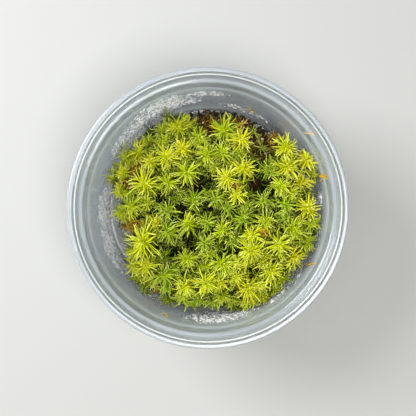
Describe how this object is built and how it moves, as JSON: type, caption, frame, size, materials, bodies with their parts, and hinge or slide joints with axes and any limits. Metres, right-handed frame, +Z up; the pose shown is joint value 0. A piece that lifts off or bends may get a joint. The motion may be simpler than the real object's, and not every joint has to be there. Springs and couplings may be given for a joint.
{
  "type": "moss clump",
  "caption": "Dense clump of star-headed moss shoots on a peat bed, held in a shallow round clear-plastic tub with a stepped rim.",
  "frame": {"origin": "middle of the tub's underside, on the plane its foot ring stands on", "axes": "+Z up out of the tub's mouth; the tub is round, and +Y is the side where the moss leaves a strip of peat bare"},
  "size_m": [0.117, 0.117, 0.048],
  "materials": {
    "tub_plastic": "satin",
    "peat": "matte",
    "moss_yellow": "matte",
    "moss_lime": "matte",
    "moss_green": "matte",
    "moss_olive": "matte",
    "moss_amber": "matte",
    "leaf_tan": "matte",
    "leaf_orange": "matte"
  },
  "bodies": {
    "root": {"tub": "tub_plastic", "peat_bed": "peat", "moss_shoot_01": "moss_yellow", "moss_shoot_02": "moss_lime", "moss_shoot_03": "moss_yellow", "moss_shoot_04": "moss_yellow", "moss_shoot_05": "moss_yellow", "moss_shoot_06": "moss_amber", "moss_shoot_07": "moss_lime", "moss_shoot_08": "moss_lime", "moss_shoot_09": "moss_lime", "moss_shoot_10": "moss_yellow", "moss_shoot_11": "moss_amber", "moss_shoot_12": "moss_yellow", "moss_shoot_13": "moss_lime", "moss_shoot_14": "moss_lime", "moss_shoot_15": "moss_green", "moss_shoot_16": "moss_lime", "moss_shoot_17": "moss_lime", "moss_shoot_18": "moss_amber", "moss_shoot_19": "moss_olive", "moss_shoot_20": "moss_lime", "moss_shoot_21": "moss_yellow", "moss_shoot_22": "moss_green", "moss_shoot_23": "moss_yellow", "moss_shoot_24": "moss_yellow", "moss_shoot_25": "moss_yellow", "moss_shoot_26": "moss_yellow", "moss_shoot_27": "moss_lime", "moss_shoot_28": "moss_yellow", "moss_shoot_29": "moss_yellow", "moss_shoot_30": "moss_green", "moss_shoot_31": "moss_green", "moss_shoot_32": "moss_green", "moss_shoot_33": "moss_amber", "moss_shoot_34": "moss_yellow", "moss_shoot_35": "moss_yellow", "moss_shoot_36": "moss_green", "moss_shoot_37": "moss_green", "moss_shoot_38": "moss_lime", "moss_shoot_39": "moss_green", "moss_shoot_40": "moss_green", "moss_shoot_41": "moss_lime", "moss_shoot_42": "moss_green", "moss_shoot_43": "moss_yellow", "moss_shoot_44": "moss_yellow", "moss_shoot_45": "moss_lime", "moss_shoot_46": "moss_green", "moss_shoot_47": "moss_lime", "moss_shoot_48": "moss_lime", "moss_shoot_49": "moss_yellow", "moss_shoot_50": "moss_yellow", "moss_shoot_51": "moss_amber", "moss_shoot_52": "moss_yellow", "moss_shoot_53": "moss_lime", "moss_shoot_54": "moss_amber", "moss_shoot_55": "moss_lime", "loose_leaf_tan": "leaf_tan", "loose_leaf_orange": "leaf_orange", "loose_leaf_rust": "leaf_orange"}
  },
  "joints": []
}
